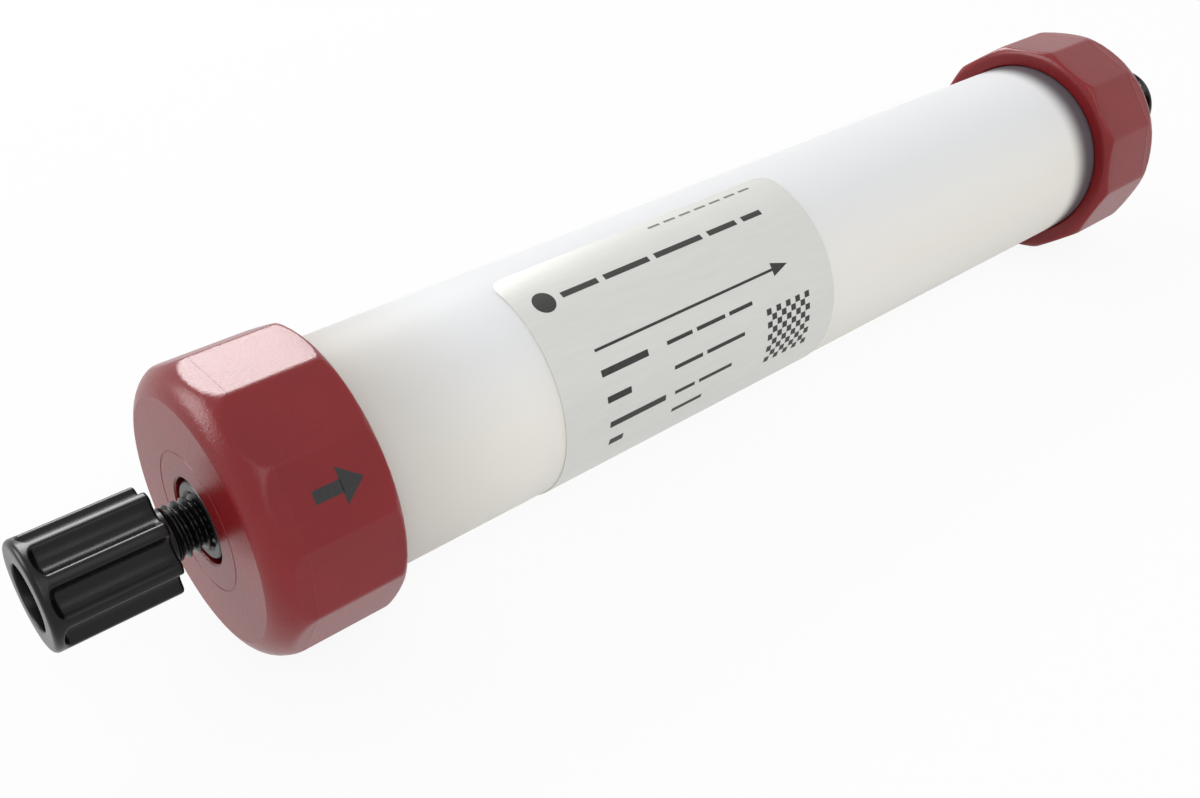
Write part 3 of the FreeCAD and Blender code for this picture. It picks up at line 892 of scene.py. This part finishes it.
def white_to_the_eye(tree, plain, white, fills, share):
    """Mixes in pure white for rays from the camera, mirrors and glass, by a share."""
    path = tree.nodes.new("ShaderNodeLightPath")
    either = path.outputs["Is Camera Ray"]
    for name in ("Is Glossy Ray", "Is Transmission Ray"):
        node = tree.nodes.new("ShaderNodeMath")
        node.operation = "MAXIMUM"
        tree.links.new(either, node.inputs[0])
        tree.links.new(path.outputs[name], node.inputs[1])
        either = node.outputs[0]
    amount = tree.nodes.new("ShaderNodeMath")
    amount.operation = "MULTIPLY"
    amount.inputs[1].default_value = share
    tree.links.new(either, amount.inputs[0])
    mix = tree.nodes.new("ShaderNodeMixShader")
    tree.links.new(amount.outputs[0], mix.inputs["Fac"])
    tree.links.new(plain, mix.inputs[1])
    tree.links.new(white, mix.inputs[2])
    tree.links.new(mix.outputs[0], fills)


floor_corners = [(x * FLOOR_HALF, y * FLOOR_HALF, 0) for x, y in ((-1, -1), (1, -1), (1, 1), (-1, 1))]
floor_mesh = bpy.data.meshes.new("floor")
floor_mesh.from_pydata(floor_corners, [], [(0, 1, 2, 3)])
floor = bpy.data.objects.new("floor", floor_mesh)
bpy.context.collection.objects.link(floor)
floor_material = bpy.data.materials.new("white_floor")
floor_material.use_nodes = True
floor_tree = floor_material.node_tree
floor_shader = floor_tree.nodes["Principled BSDF"]
floor_shader.inputs["Base Color"].default_value = FLOOR_GREY
floor_shader.inputs["Roughness"].default_value = 0.9
floor_white = floor_tree.nodes.new("ShaderNodeEmission")
floor_white.inputs["Strength"].default_value = 1.0
floor_out = floor_tree.nodes["Material Output"].inputs["Surface"]
white_to_the_eye(floor_tree, floor_shader.outputs[0], floor_white.outputs[0], floor_out, FLOOR_WHITE_SHARE)
floor_mesh.materials.append(floor_material)

world = bpy.data.worlds.new("studio")
bpy.context.scene.world = world
world.use_nodes = True
world_tree = world.node_tree
world_plain = world_tree.nodes["Background"]
world_plain.inputs["Color"].default_value = WORLD_COLOUR
world_plain.inputs["Strength"].default_value = WORLD_STRENGTH
world_white = world_tree.nodes.new("ShaderNodeBackground")
world_white.inputs["Color"].default_value = (1, 1, 1, 1)
world_white.inputs["Strength"].default_value = 1.0
world_out = world_tree.nodes["World Output"].inputs["Surface"]
white_to_the_eye(world_tree, world_plain.outputs[0], world_white.outputs[0], world_out, 1.0)


def soft_lamp(name, place, width, height, power, gloss_only):
    """A soft lamp that faces the column. One for gloss only shows in reflections and lights nothing else."""
    light = bpy.data.lights.new(name, "AREA")
    light.shape = "RECTANGLE"
    light.size = width
    light.size_y = height
    light.energy = power
    lamp = bpy.data.objects.new(name, light)
    bpy.context.collection.objects.link(lamp)
    lamp.visible_diffuse = not gloss_only
    lamp.location = place
    aim = Vector((0, 0, AXIS_HEIGHT))
    lamp.rotation_euler = (aim - Vector(place)).to_track_quat("-Z", "Y").to_euler()


for lamp_values in LAMPS:
    soft_lamp(*lamp_values)

camera_data = bpy.data.cameras.new("camera")
camera_data.sensor_width = CAMERA_SENSOR
camera_data.lens = CAMERA_LENS
camera_data.clip_start = CAMERA_NEAR
camera = bpy.data.objects.new("camera", camera_data)
bpy.context.collection.objects.link(camera)
camera_turn = Matrix((CAMERA_RIGHT, CAMERA_UP, CAMERA_RIGHT.cross(CAMERA_UP))).transposed().to_4x4()
camera.matrix_world = Matrix.Translation(CAMERA_PLACE) @ camera_turn
bpy.context.scene.camera = camera
bpy.context.scene.view_settings.view_transform = "Standard"
